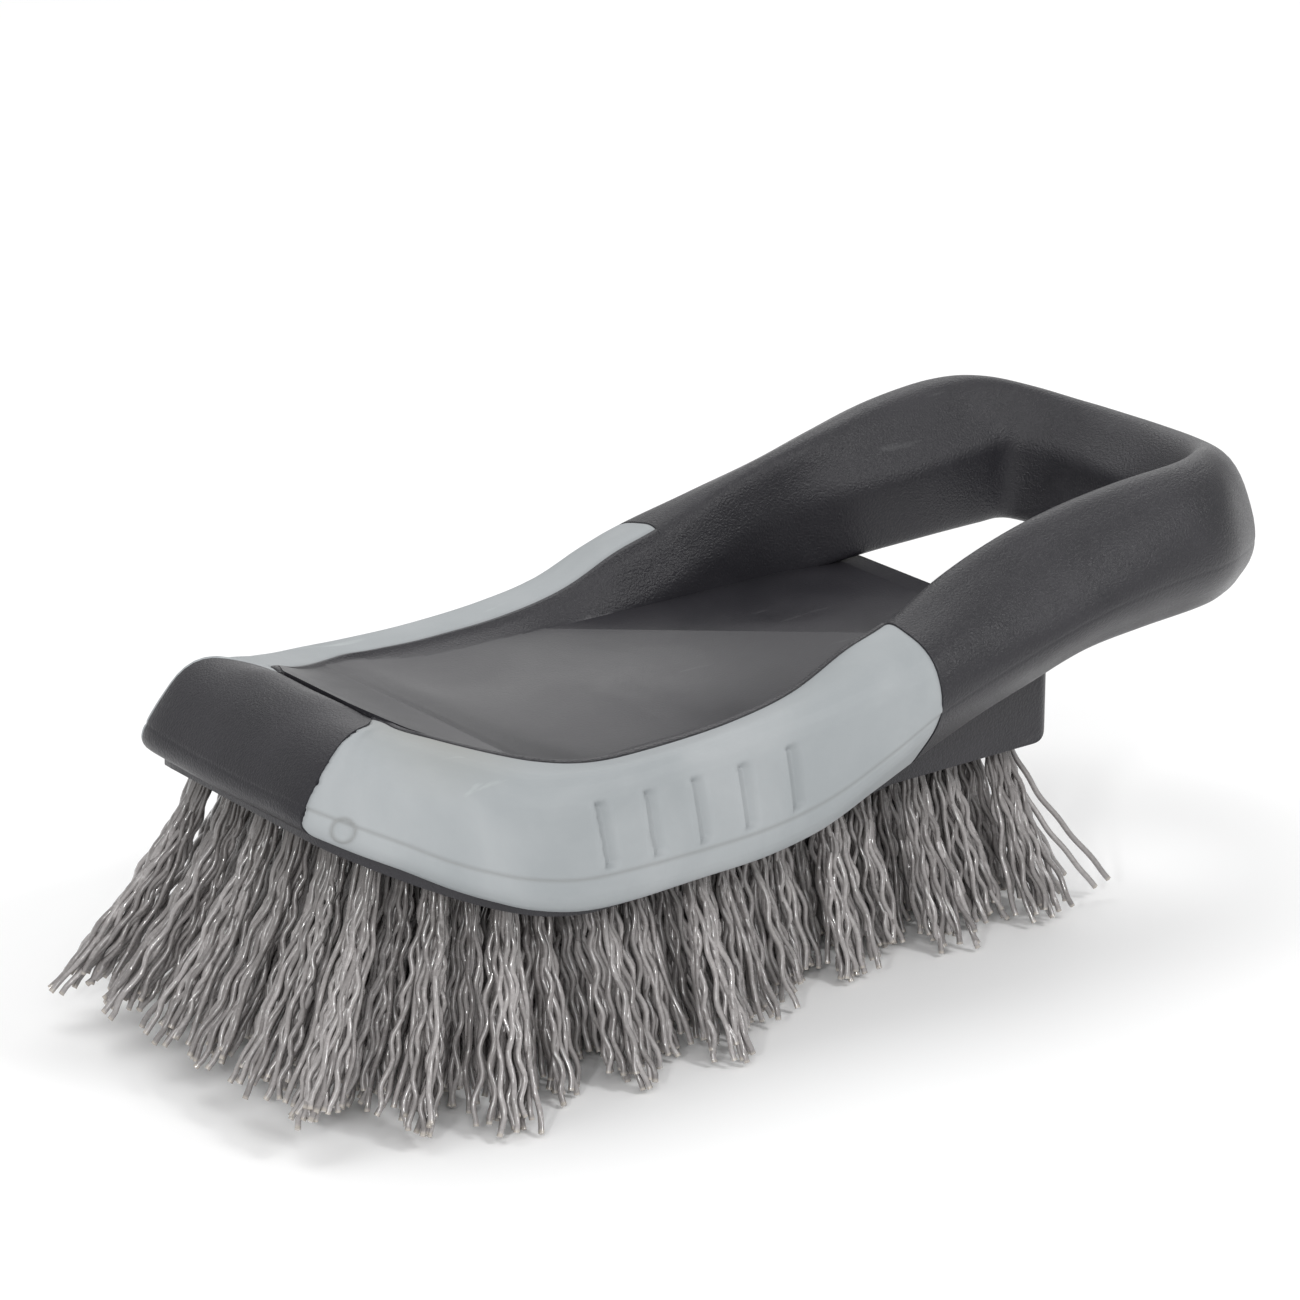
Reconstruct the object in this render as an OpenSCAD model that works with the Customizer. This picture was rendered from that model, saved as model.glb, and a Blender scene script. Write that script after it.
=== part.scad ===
// Hand-held wheel brush: one moulded body with an upturned nose and a loop handle,
// two soft grips moulded over its flanks, and tufts of bristle stapled into its underside.
// +X runs from the nose to the handle, +Z is up and z = 0 is the surface the bristles stand on.

/* [Body] */
// Length of the body from the nose to the end of the loop
body_length = 201; // [193:0.5:241]
// Width across the two grips at their widest
body_width = 88; // [82:1:106]
// Width of the bare nose between the front edges of the two grips
nose_width = 44; // [38:1:48]
// How far the front tufts stand out past the nose
tuft_reach = 10; // [6:0.5:12]
// Height of the flat deck above the surface
deck_height = 48.5; // [46:0.5:58]
// Height of the ridge at the nose above the deck
nose_rise = 12.3; // [9:0.1:15]
// How far the underside of the nose is turned up above the underside of the block
nose_lift = 16.7; // [13:0.1:20]
// Thickness of the block under the flat deck
block_thickness = 18.5; // [16:0.5:24]
// Width of the narrow rear part of the block
block_width = 52.6; // [48:0.2:60]
// Distance from the nose to the rear face of the block
block_length = 146; // [141:0.5:151]

/* [Handle] */
// Height of the top of the loop above the deck
handle_rise = 25.5; // [20:0.5:30]
// Width of the hand opening
opening_width = 39; // [34:0.5:44]
// Thickness of the end of the loop, measured along the brush
loop_thickness = 19.5; // [16:0.5:24]

/* [Grips] */
// Distance from the nose to the rear edge of each grip
grip_length = 107; // [101:0.5:112]
// Thickness of the soft grip over the body
grip_thickness = 2.2; // [1.6:0.1:3]
// Number of finger flutes in each grip
flute_count = 5; // [3:1:6]
// Distance from one flute to the next
flute_pitch = 9.2; // [7:0.1:9.5]
// Depth of each flute
flute_depth = 0.8; // [0.4:0.1:1.2]

/* [Bristles] */
// Diameter of each drilled tuft hole
hole_diameter = 4.6; // [3.6:0.1:5.2]
// Depth of each tuft hole
hole_depth = 10; // [8:0.5:12]
// Distance from one row of tufts to the next
row_pitch = 9; // [8.4:0.1:9.2]
// Distance between two tufts of a row
tuft_pitch = 9.2; // [8.6:0.1:9.6]
// Diameter that a tuft spreads to at its tips
tip_diameter = 7.6; // [5:0.1:8]
// Outward lean of the outermost tufts, in degrees
side_lean = 19; // [8:1:22]
// Gap between the ends of an anchor staple and the wall of its hole
anchor_clearance = 0.3; // [0.1:0.05:0.6]
// Height of each anchor staple
anchor_height = 1.8; // [1.2:0.1:2.4]
// Thickness of the anchor staple
anchor_thickness = 0.5; // [0.3:0.05:0.8]

/* [Hidden] */
row_count = 15;

// The rounding of a section's widest line takes these amounts off its corner point
side_rounding = 1.6;
end_rounding = 1;

// Places along X, with the whole brush and its front tufts centred on x = 0
nose_x = -(body_length + tuft_reach) / 2 + tuft_reach;
loop_x = nose_x + body_length + end_rounding;
block_x = nose_x + block_length;
grip_x = nose_x + grip_length;
opening_x = loop_x - loop_thickness;

half_width = body_width / 2 + side_rounding;
half_nose = nose_width / 2;
half_block = block_width / 2;
half_opening = opening_width / 2;
underside = deck_height - block_thickness;
ridge = deck_height + nose_rise;
crown = deck_height + handle_rise;
nose_under = underside + nose_lift;

// The deck climbs to the ridge over its first stretch, and the underside turns up with it
ridge_x = nose_x + 17;
deck_turn_x = nose_x + 63.5;
under_turn_x = nose_x + 43;

function deck_z(x) = x > deck_turn_x ? deck_height
    : deck_height + nose_rise * pow((deck_turn_x - x) / (deck_turn_x - ridge_x), 2.3);
function under_z(x) = x > under_turn_x ? underside
    : underside + nose_lift * pow((under_turn_x - x) / (under_turn_x - nose_x), 1.7);

// The flanks widen from the nose (0) to the rear edges of the grips (1)
function flank(share) = half_nose + share * (half_width - half_nose);
// Places along the arms, from the rear edges of the grips (0) to the rear face of the block (1)
function arm_x(share) = grip_x + share * (block_x - grip_x);

// The body's rim is one closed loop of sections, from the nose round each flank to the loop handle.
// A row holds the outer point of a section in plan, its inner point, then in the section itself the
// bottom edge, the widest line, the shoulder and the border as insets from the outside and heights,
// the top and the bottom of its inner wall, and how far the section bends towards the middle.
// [outer x, outer y, inner x, inner y, bottom inset, bottom z, widest z, shoulder inset, shoulder z,
//  border inset, border z, wall top z, wall bottom z, bend]
rim = [
    [nose_x, 0, nose_x + 27, 0, 0.8, nose_under, nose_under + 3.5, 7, ridge - 2,
        14.5, ridge + 0.9, ridge - 7, nose_under - 9, 0],
    [nose_x + 0.2, half_nose * 0.47, nose_x + 27, half_nose * 0.33, 0.8, nose_under, nose_under + 3.5,
        7, ridge - 2, 14.8, ridge + 0.8, ridge - 7, nose_under - 9, 0],
    [nose_x + 0.9, half_nose, nose_x + 27, half_nose - 2.5, 0.8, nose_under - 0.2, nose_under + 3.3,
        9, ridge + 0.1, 19.8, ridge - 2.4, ridge - 8, nose_under - 9, 8],
    [nose_x + 5.8, flank(0.23), nose_x + 29.7, half_nose - 9.4, 1.2, nose_under - 3.1, nose_under + 0.9,
        8.6, ridge - 0.9, 19.3, ridge - 3.3, ridge - 8.5, underside + 7, 0],
    [nose_x + 11.8, flank(0.43), nose_x + 32.9, half_nose - 7.4, 1.6, underside + 10.4, underside + 14.6,
        8.4, ridge - 2.8, 19.5, ridge - 5.2, ridge - 9.5, underside + 7, 0],
    [nose_x + 17.5, flank(0.617), nose_x + 36.7, half_nose - 4.6, 1.8, underside + 7.3, underside + 11.6,
        8.2, ridge - 5, 19.7, ridge - 6.8, ridge - 11, underside + 6, 0],
    [nose_x + 23, flank(0.762), nose_x + 40.5, half_nose - 1.5, 1.9, underside + 4.9, underside + 9.5,
        7.6, ridge - 6.8, 19.3, deck_height + 4.1, deck_height + 0.5, underside + 5, 0],
    [nose_x + 29, flank(0.867), nose_x + 44.3, half_nose + 0.4, 2, underside + 2.7, underside + 7.8,
        6.8, deck_height + 4, 18, deck_height + 3.1, deck_height, underside + 4, 0],
    [nose_x + 37.5, flank(0.912), nose_x + 48.4, half_nose + 2.3, 2, underside + 0.7, underside + 6,
        5.9, deck_height + 3.2, 15.2, deck_height + 2.3, deck_height - 1, underside + 4, 0],
    [nose_x + 47.5, flank(0.917), nose_x + 54, half_nose + 0.5, 2, underside, underside + 5.4,
        5.2, deck_height + 2.8, 13.1, deck_height + 1.5, deck_height - 1, underside + 4, 0],
    [nose_x + 61.5, flank(0.888), nose_x + 61.5, half_nose + 0.5, 2, underside, underside + 4.8,
        4.6, deck_height + 2.9, 12, deck_height + 1.3, deck_height - 1, underside + 4, 0],
    [nose_x + 75, flank(0.87), nose_x + 75, half_nose + 1.5, 2.4, underside, underside + 5,
        4.1, deck_height + 3.7, 12, deck_height + 2, deck_height - 1, underside + 4, 0],
    [grip_x - 20, flank(0.88), grip_x - 20, half_block - 2, 4.2, underside + 1, underside + 7.5,
        3.5, deck_height + 5, 12.7, deck_height + 4.4, deck_height - 1, underside + 5, 0],
    [grip_x - 9, flank(0.93), grip_x - 9, half_block - 1.5, 7, underside + 4, underside + 13,
        3, deck_height + 7.6, 14.4, deck_height + 9.3, deck_height, underside + 8, 0],
    [grip_x, flank(0.98), grip_x, half_block - 1.3, 9, underside + 6.8, underside + 18.5,
        3.4, deck_height + 9.4, 15.9, deck_height + 12.1, deck_height + 2.5, underside + 10, 0],
    [arm_x(0.31), half_width - 0.7, arm_x(0.31), half_block - 1.3, 8.5, underside + 11.5, underside + 22,
        5.2, crown - 13.2, 17, crown - 8.2, deck_height + 6.8, underside + 13, 0],
    [arm_x(0.62), half_width - 1, arm_x(0.62), half_block - 1.6, 8.2, underside + 15, underside + 25,
        6.4, crown - 10.4, 17.4, crown - 4.4, deck_height + 11, underside + 16, 0],
    [block_x - 3, half_width - 1.2, block_x - 3, half_opening + 1.4, 8, underside + 18.2, underside + 27.5,
        6, crown - 7.4, 16.6, crown - 1.8, deck_height + 13, underside + 19, 0],
    [block_x + 10, half_width - 1.6, block_x + 10, half_opening, 8, underside + 19.2, underside + 29,
        5, crown - 4.6, 15, crown + 0.3, deck_height + 14.2, underside + 20, 0],
    [opening_x - 13, half_width - 3, opening_x - 13, half_opening + 0.3, 7.6, underside + 19.5, underside + 29,
        4.6, crown - 2.8, 13.4, crown + 1.2, deck_height + 15.6, underside + 20, 0],
    [opening_x - 3.5, half_width - 8, opening_x - 6.5, half_opening, 6.5, underside + 18.6, underside + 28,
        4.4, crown - 2.6, 12.2, crown + 1, deck_height + 15.8, underside + 20, 0],
    [loop_x - 13, half_width - 16, opening_x - 3, half_opening - 4, 5.4, underside + 17, underside + 26,
        4.4, crown - 4.2, 11.2, crown - 0.8, deck_height + 15, underside + 19, 0],
    [loop_x - 5.2, half_width - 26.5, opening_x - 1, half_opening - 9.5, 4.6, underside + 15.6, underside + 24.4,
        4.4, crown - 5.8, 10.6, crown - 3, deck_height + 14, underside + 18, 0],
    [loop_x - 1.2, half_width - 37, opening_x, half_opening - 15.5, 4.2, underside + 14.8, underside + 23.4,
        4.2, crown - 6.8, 10.2, crown - 4.4, deck_height + 13, underside + 17, 0],
    [loop_x, 0, opening_x, 0, 4, underside + 14.6, underside + 23,
        4.2, crown - 7.2, 10, crown - 4.8, deck_height + 12.6, underside + 17, 0]
];
last = len(rim) - 1;
grip_start = 2;
grip_end = 14;
steps = 3;
bite = 0.004;

// Rounding of the six corners of a section, and the points that each corner takes
corner_round = [3, 8, 6, 4, 3, 2.5];
corner_points = 4;
section_points = 6 * corner_points;
// The grip covers the outside of a section, from its bottom edge to its border
grip_last = 3 * corner_points + 1;
// The inset at which a section's bend is complete
bend_inset = 20;

function flip_y(row) = [for (i = [0:len(row) - 1]) (i == 1 || i == 3) ? -row[i] : row[i]];
function rim_row(i) = i < 0 ? flip_y(rim[-i]) : i > last ? flip_y(rim[2 * last - i]) : rim[i];
function smooth(a, b, c, d, t) =
    0.5 * (2 * b + (c - a) * t + (2 * a - 5 * b + 4 * c - d) * t * t + (3 * b - a - 3 * c + d) * t * t * t);
function rim_at(u) =
    let (i = min(floor(u), last - 1), t = u - i)
    smooth(rim_row(i - 1), rim_row(i), rim_row(i + 1), rim_row(i + 2), t);

// Corners of a section as [inset, height]
function section_corners(row) =
    let (width = norm([row[2] - row[0], row[3] - row[1]]))
    [
        [row[4], row[5]],
        [0, row[6]],
        [row[7], row[8]],
        [row[9], row[10]],
        [width, row[11]],
        [width, row[12]]
    ];
function rounded(corners, i) =
    let (
        n = len(corners),
        before = corners[(i + n - 1) % n],
        here = corners[i],
        after = corners[(i + 1) % n],
        reach_in = min(corner_round[i], 0.45 * norm(before - here)),
        reach_out = min(corner_round[i], 0.45 * norm(after - here)),
        start = here + (before - here) * reach_in / norm(before - here),
        end = here + (after - here) * reach_out / norm(after - here)
    )
    [for (k = [0:corner_points - 1])
        let (t = k / (corner_points - 1))
        start * (1 - t) * (1 - t) + here * 2 * t * (1 - t) + end * t * t];
function section_outline(row) =
    let (corners = section_corners(row))
    [for (i = [0:5]) each rounded(corners, i)];

// How deep the body is cut back under the grip at each point of the section
function recess(i) = i < 1 || i >= grip_last ? 0 : grip_thickness * min(1, i / 4, (grip_last - i) / 1.5);
function inward(outline, i) =
    let (
        n = len(outline),
        along = outline[(i + 1) % n] - outline[(i + n - 1) % n],
        length = norm(along)
    )
    [-along[1], along[0]] / length;
function recessed(outline) =
    [for (i = [0:len(outline) - 1]) outline[i] - inward(outline, i) * recess(i)];

// Puts a point of a section, [inset, height], into space
function placed(row, point) =
    let (
        outer = [row[0], row[1]],
        across = [row[2] - row[0], row[3] - row[1]],
        bend = [0, row[13] * pow(max(0, min(1, point[0] / bend_inset)), 4)],
        plan = outer + across * point[0] / norm(across) - bend
    )
    [plan[0], plan[1], point[1]];
function ring(u, cut_back) =
    let (
        row = rim_at(u),
        outline = section_outline(row)
    )
    [for (point = cut_back ? recessed(outline) : outline) placed(row, point)];

// One triangle pair for each patch between two rings; the split runs the same way in body and grip
function patches(rings, points, mirrored, closed_loop) =
    [for (k = [0:rings - (closed_loop ? 1 : 2)])
        let (next = (k + 1) % rings)
        for (i = [0:points - 1])
            let (
                j = (i + 1) % points,
                a = k * points + i,
                b = k * points + j,
                c = next * points + j,
                d = next * points + i
            )
            each (k < mirrored ? [[a, c, b], [a, d, c]] : [[a, d, b], [b, d, c]])];

grip_from = grip_start * steps;
grip_to = grip_end * steps;
body_stops = concat(
    [for (k = [0:grip_from]) [k / steps, false]],
    [[grip_start + bite, true]],
    [for (k = [grip_from + 1:grip_to - 1]) [k / steps, true]],
    [[grip_end - bite, true]],
    [for (k = [grip_to:last * steps]) [k / steps, false]]
);

// The rim of the body, all the way round
module rim_solid() {
    half = [for (stop = body_stops) ring(stop[0], stop[1])];
    count = len(half);
    other = [for (k = [count - 2:-1:1]) [for (point = half[k]) [point[0], -point[1], point[2]]]];
    points = [for (r = concat(half, other)) each r];
    polyhedron(points = points, faces = patches(2 * count - 2, section_points, count - 1, true));
}

// One grip, on the +Y flank
module grip() {
    stops = concat(
        [grip_start + bite],
        [for (k = [grip_from + 1:grip_to - 1]) k / steps],
        [grip_end - bite]
    );
    rings = [for (u = stops)
        let (
            outside = ring(u, false),
            inside = ring(u, true)
        )
        concat(
            [for (i = [0:grip_last]) outside[i]],
            [for (i = [grip_last - 1:-1:1]) inside[i]]
        )];
    size = len(rings[0]);
    count = len(rings);
    walls = [for (k = [0:count - 2])
        for (i = [0:size - 1])
            let (
                j = (i + 1) % size,
                a = k * size + i,
                b = k * size + j,
                c = (k + 1) * size + j,
                d = (k + 1) * size + i
            )
            each (i < grip_last ? [[a, c, b], [a, d, c]] : [[a, d, b], [b, d, c]])];
    caps = [for (k = [0, count - 1])
        let (base = k * size)
        for (i = [0:grip_last - 1])
            let (
                a = base + i,
                b = base + i + 1,
                c = base + (i + 1 == grip_last ? grip_last : size - i - 1),
                d = base + (i == 0 ? 0 : size - i),
                quad = i == 0 ? [[a, b, c]] : i + 1 == grip_last ? [[a, b, d]] : [[a, b, c], [a, c, d]]
            )
            each (k == 0 ? quad : [for (t = quad) [t[2], t[1], t[0]]])];
    polyhedron(points = [for (r = rings) each r], faces = concat(walls, caps));
}

// The block is a lower slab, wide under the grips and narrow towards the rear, and an upper part
// whose top is the deck and which ends just inside the grips' borders
slab_inset = 4;
slab_height = 8;
deck_inset = 1.2;
block_corner = 3;
under_round = 4;
slab_front = nose_x + 4;
deck_front = nose_x + 19;

function plan_point(u, inset) =
    let (point = placed(rim_at(u), [inset, 0]))
    [point[0], point[1]];
rear_corner = [for (a = [90:-15:0])
    [block_x - block_corner + block_corner * cos(a), half_block - block_corner + block_corner * sin(a)]];
slab_side = concat(
    [for (u = [0.5:0.5:11]) plan_point(u, slab_inset)],
    [[grip_x - 22, half_block + 7], [grip_x - 14, half_block + 2], [grip_x - 6, half_block]],
    rear_corner
);
deck_side = concat(
    [[deck_front, half_nose * 0.4]],
    [for (u = [3:0.5:grip_end]) plan_point(u, rim_at(u)[9] + deck_inset)],
    [[grip_x + 6, half_block]],
    rear_corner
);
module both_sides(side) {
    polygon(concat(side, [for (i = [len(side) - 1:-1:0]) [side[i][0], -side[i][1]]]));
}

// The rounded lower edge at the rear of the block
under_edge = [for (a = [0:-15:-90])
    [block_x - under_round + under_round * cos(a), underside + under_round + under_round * sin(a)]];
module slab_profile() {
    polygon(concat(
        [for (x = [slab_front:4:under_turn_x]) [x, under_z(x) + slab_height]],
        [[block_x, underside + slab_height]],
        under_edge,
        [for (x = [under_turn_x:-4:slab_front]) [x, under_z(x)]]
    ));
}
module deck_profile() {
    polygon(concat(
        [for (x = [deck_front:4:deck_turn_x]) [x, deck_z(x)]],
        [[deck_turn_x + 4, deck_height], [block_x, deck_height]],
        under_edge,
        [for (x = [under_turn_x:-4:deck_front]) [x, under_z(x) + 1]]
    ));
}

// Extrudes a side profile across the whole width
module across_body() {
    rotate([90, 0, 0])
        translate([0, 0, -half_width])
            linear_extrude(height = body_width) children();
}

module slab() {
    intersection() {
        linear_extrude(height = crown) both_sides(slab_side);
        across_body() slab_profile();
    }
}
module block() {
    slab();
    intersection() {
        linear_extrude(height = crown) both_sides(deck_side);
        across_body() deck_profile();
    }
}

// Rows of tufts: eight under the wide part and seven under the narrow part
first_row_x = nose_x + 12.5;
wide_rows = 8;
row_tufts = [6, 7, 8, 7, 8, 7, 8, 7, 6, 5, 6, 5, 6, 5, 6];
function row_x(r) = first_row_x + (r - 1) * row_pitch;
function row_spacing(r) = r > wide_rows ? (half_block - 5.2) * 2 / 5 : tuft_pitch;
function tuft_y(r, i) = (i - (row_tufts[r - 1] - 1) / 2) * row_spacing(r);
function tip_height(r) = r == 1 ? 5 : r == 2 ? 1.5 : 0;
// The first row leans forward by as much as brings its tips to their reach past the nose
front_run = first_row_x - nose_x + tuft_reach - tip_diameter / 2;
front_lean = atan(front_run / (under_z(first_row_x) - tip_height(1)));
function lean_forward(r) = r < 5 ? front_lean * (1 - (r - 1) / 4) : r > 11 ? -(r - 11) * 2 : 0;
function lean_out(r, i) = side_lean * tuft_y(r, i) / (3.5 * tuft_pitch) * (r > wide_rows ? 1.3 : 1);

// Stands the children at the mouth of a hole, with -Z running down the tuft
module at_tuft(r, i) {
    translate([row_x(r), tuft_y(r, i), under_z(row_x(r))])
        rotate([lean_out(r, i), lean_forward(r), 0])
            children();
}

module tuft_hole(r, i) {
    at_tuft(r, i)
        translate([0, 0, -3])
            cylinder(h = hole_depth + 3, d = hole_diameter, $fn = 24);
}

// A tuft fills its hole up to the anchor, leaves it straight and spreads towards its cut tips
tuft_neck = 2;
module tuft(r, i) {
    drop = under_z(row_x(r)) - tip_height(r);
    length = drop / (cos(lean_out(r, i)) * cos(lean_forward(r))) + (tip_height(r) > 0 ? 0 : 3);
    intersection() {
        at_tuft(r, i)
            union() {
                translate([0, 0, -length])
                    cylinder(h = length - tuft_neck, d1 = tip_diameter, d2 = hole_diameter, $fn = 24);
                translate([0, 0, -tuft_neck])
                    cylinder(h = tuft_neck + hole_depth - anchor_height, d = hole_diameter, $fn = 24);
            }
        translate([-body_length, -body_width, 0])
            cube([2 * body_length, 2 * body_width, 2 * crown]);
    }
}

anchor_length = hole_diameter - 2 * anchor_clearance;
module anchor(r, i) {
    at_tuft(r, i)
        translate([-anchor_thickness / 2, -anchor_length / 2, hole_depth - anchor_height])
            cube([anchor_thickness, anchor_length, anchor_height]);
}

module body() {
    color("#2b2b2f")
        difference() {
            union() {
                block();
                rim_solid();
            }
            for (r = [1:row_count])
                for (i = [0:row_tufts[r - 1] - 1])
                    tuft_hole(r, i);
        }
}

// Finger flutes: shallow upright slots in the outer face of the grip, with round ends
flute_x = nose_x + 43;
flute_width = 1.5;
flute_height = 10;
flute_rise = 1.5;
flank_line = [for (i = [grip_start:grip_end]) [rim[i][0], rim[i][1]]];
widest_line = [for (i = [grip_start:grip_end]) [rim[i][0], rim[i][6]]];
shoulder_line = [for (i = [grip_start:grip_end]) [rim[i][0], rim[i][8]]];
shoulder_inset = [for (i = [grip_start:grip_end]) [rim[i][0], rim[i][7]]];

// A slot from the widest line up the face, leaning with the face towards the shoulder
module flute(x) {
    low = lookup(x, widest_line);
    tilt = atan(lookup(x, shoulder_inset) / (lookup(x, shoulder_line) - low));
    translate([x, lookup(x, flank_line), low])
        rotate([90 + tilt, 0, 0])
            translate([0, flute_rise, -flute_width])
                linear_extrude(height = flute_width + flute_depth) {
                    translate([-flute_width / 2, 0])
                        square([flute_width, flute_height - flute_width]);
                    circle(d = flute_width, $fn = 24);
                    translate([0, flute_height - flute_width])
                        circle(d = flute_width, $fn = 24);
                }
}

// The lower lip of a grip stops against the slab
module fluted_grip() {
    difference() {
        grip();
        slab();
        for (k = [0:flute_count - 1])
            flute(flute_x + k * flute_pitch);
    }
}

module left_grip() {
    color("#9ba3a3") fluted_grip();
}

module right_grip() {
    color("#9ba3a3") mirror([0, 1, 0]) fluted_grip();
}

module tuft_row(r) {
    color("#8d857d")
        for (i = [0:row_tufts[r - 1] - 1])
            tuft(r, i);
}

module anchor_row(r) {
    color("#b9b9bd")
        for (i = [0:row_tufts[r - 1] - 1])
            anchor(r, i);
}

body();
left_grip();
right_grip();
tuft_row(1);  // tuft_row_01
tuft_row(2);  // tuft_row_02
tuft_row(3);  // tuft_row_03
tuft_row(4);  // tuft_row_04
tuft_row(5);  // tuft_row_05
tuft_row(6);  // tuft_row_06
tuft_row(7);  // tuft_row_07
tuft_row(8);  // tuft_row_08
tuft_row(9);  // tuft_row_09
tuft_row(10);  // tuft_row_10
tuft_row(11);  // tuft_row_11
tuft_row(12);  // tuft_row_12
tuft_row(13);  // tuft_row_13
tuft_row(14);  // tuft_row_14
tuft_row(15);  // tuft_row_15
anchor_row(1);  // anchor_row_01
anchor_row(2);  // anchor_row_02
anchor_row(3);  // anchor_row_03
anchor_row(4);  // anchor_row_04
anchor_row(5);  // anchor_row_05
anchor_row(6);  // anchor_row_06
anchor_row(7);  // anchor_row_07
anchor_row(8);  // anchor_row_08
anchor_row(9);  // anchor_row_09
anchor_row(10);  // anchor_row_10
anchor_row(11);  // anchor_row_11
anchor_row(12);  // anchor_row_12
anchor_row(13);  // anchor_row_13
anchor_row(14);  // anchor_row_14
anchor_row(15);  // anchor_row_15
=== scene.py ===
# Wheel brush: a black moulded body with a loop handle, soft grey grips on its flanks
# and crimped bristles under it. Shapes are in millimetres here and metres in the scene.
import math

import bmesh
import bpy
import numpy as np
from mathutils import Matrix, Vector


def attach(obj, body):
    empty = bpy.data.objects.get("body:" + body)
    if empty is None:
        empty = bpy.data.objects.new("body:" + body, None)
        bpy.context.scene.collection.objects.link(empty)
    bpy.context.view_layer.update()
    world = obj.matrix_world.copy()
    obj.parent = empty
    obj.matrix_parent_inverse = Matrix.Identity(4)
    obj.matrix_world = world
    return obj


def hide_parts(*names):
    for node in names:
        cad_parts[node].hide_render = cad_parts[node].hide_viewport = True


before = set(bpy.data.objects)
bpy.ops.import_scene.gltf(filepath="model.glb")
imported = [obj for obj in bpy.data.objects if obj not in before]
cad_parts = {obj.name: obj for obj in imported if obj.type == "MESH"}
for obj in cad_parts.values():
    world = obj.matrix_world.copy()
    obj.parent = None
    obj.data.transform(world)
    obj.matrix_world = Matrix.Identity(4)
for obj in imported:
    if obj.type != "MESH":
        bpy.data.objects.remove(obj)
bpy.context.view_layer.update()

mm = 0.001
scene = bpy.context.scene
print("frame loaded:", len(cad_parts), "nodes")

body = {
    "length": 201.0,        # nose to the end of the loop
    "width": 88.0,          # across the two grips
    "noseWidth": 44.0,      # bare nose between the grips
    "tuftReach": 10.0,      # front tufts past the nose
    "deckHeight": 48.5,
    "noseRise": 12.3,
    "noseLift": 16.7,
    "blockThickness": 18.5,
    "blockWidth": 52.6,
    "blockLength": 146.0,
    "handleRise": 25.5,
    "openingWidth": 39.0,
    "loopThickness": 19.5,
    "gripLength": 107.0,
    "sideRounding": 1.6,
    "endRounding": 1.0,
}

noseX = -(body["length"] + body["tuftReach"]) / 2 + body["tuftReach"]
loopX = noseX + body["length"] + body["endRounding"]
blockX = noseX + body["blockLength"]
gripX = noseX + body["gripLength"]
openingX = loopX - body["loopThickness"]
halfWidth = body["width"] / 2 + body["sideRounding"]
halfNose = body["noseWidth"] / 2
halfBlock = body["blockWidth"] / 2
halfOpening = body["openingWidth"] / 2
deckZ = body["deckHeight"]
underside = deckZ - body["blockThickness"]
ridge = deckZ + body["noseRise"]
crown = deckZ + body["handleRise"]
noseUnder = underside + body["noseLift"]
ridgeX = noseX + 17
deckTurnX = noseX + 63.5
underTurnX = noseX + 43


def deckAt(x):
    if x > deckTurnX:
        return deckZ
    return deckZ + body["noseRise"] * ((deckTurnX - x) / (deckTurnX - ridgeX)) ** 2.3


def underAt(x):
    if x > underTurnX:
        return underside
    return underside + body["noseLift"] * ((underTurnX - x) / (underTurnX - noseX)) ** 1.7


def flankAt(share):
    return halfNose + share * (halfWidth - halfNose)


def armAt(share):
    return gripX + share * (blockX - gripX)


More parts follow.
